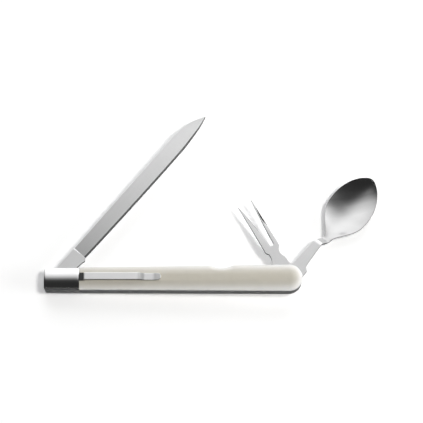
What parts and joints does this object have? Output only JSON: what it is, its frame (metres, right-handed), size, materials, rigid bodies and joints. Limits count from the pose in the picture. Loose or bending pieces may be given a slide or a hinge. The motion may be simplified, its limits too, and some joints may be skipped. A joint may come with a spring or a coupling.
{
  "type": "folding pocket cutlery",
  "caption": "Pen-shaped folding picnic cutlery: a pocket handle with clip and thumb notch, and a slim knife, a two-tined fork and a spoon that hinge out of it.",
  "frame": {"origin": "middle of the back scale's flat crown, halfway between the handle's ends", "axes": "+X along the handle towards the round end where the fork and spoon hinge, +Y towards the side the tools open on, +Z out of the front scale, which carries the clip"},
  "size_m": [0.1767, 0.0966, 0.0211],
  "materials": {
    "scale": "off-white moulded plastic, semi-gloss",
    "bolster": "mirror-polished stainless steel",
    "liner": "dark ground steel edge",
    "spring": "ground spring steel",
    "pin": "satin stainless steel",
    "clip": "polished spring steel",
    "clip_root": "dark steel",
    "blade": "fine-ground and polished stainless steel",
    "fork": "satin-polished stainless steel",
    "spoon": "polished stainless steel"
  },
  "bodies": {
    "handle": {"front_scale": "scale", "back_scale": "scale", "front_bolster": "bolster", "back_bolster": "bolster", "front_liner": "liner", "back_liner": "liner", "knife_fork_divider": "liner", "fork_spoon_divider": "liner", "knife_spring": "spring", "fork_spring": "spring", "spoon_spring": "spring", "fork_layer_spacer": "spring", "spoon_layer_spacer": "spring", "knife_layer_bush": "pin", "knife_hinge_pin": "pin", "fork_spoon_hinge_pin": "pin", "spring_rivets": "pin", "scale_studs": "pin", "bolster_studs": "pin", "clip_root": "clip_root", "clip_rivet": "pin"},
    "clip": {"pocket_clip": "clip"},
    "knife": {"knife_blade": "blade"},
    "fork": {"fork": "fork"},
    "spoon": {"spoon": "spoon"}
  },
  "joints": [
    {"name": "knife_hinge", "type": "hinge", "parent": "handle", "child": "knife", "pos_m": [-0.0591, 0.0016, 0.0085], "axis": [0, 0, 1], "range_deg": [-50.3, 129.7]},
    {"name": "fork_hinge", "type": "hinge", "parent": "handle", "child": "fork", "pos_m": [0.0613, 0.0022, 0.0062], "axis": [0, 0, -1], "range_deg": [-59, 121]},
    {"name": "spoon_hinge", "type": "hinge", "parent": "handle", "child": "spoon", "pos_m": [0.0613, 0.0022, 0.004], "axis": [0, 0, -1], "range_deg": [-127, 53]},
    {"name": "clip_flex", "type": "hinge", "parent": "handle", "child": "clip", "pos_m": [-0.0465, 0.0001, 0.0129], "axis": [0, -1, 0], "range_deg": [0, 4], "stiffness_Nm_per_rad": 0.4}
  ]
}
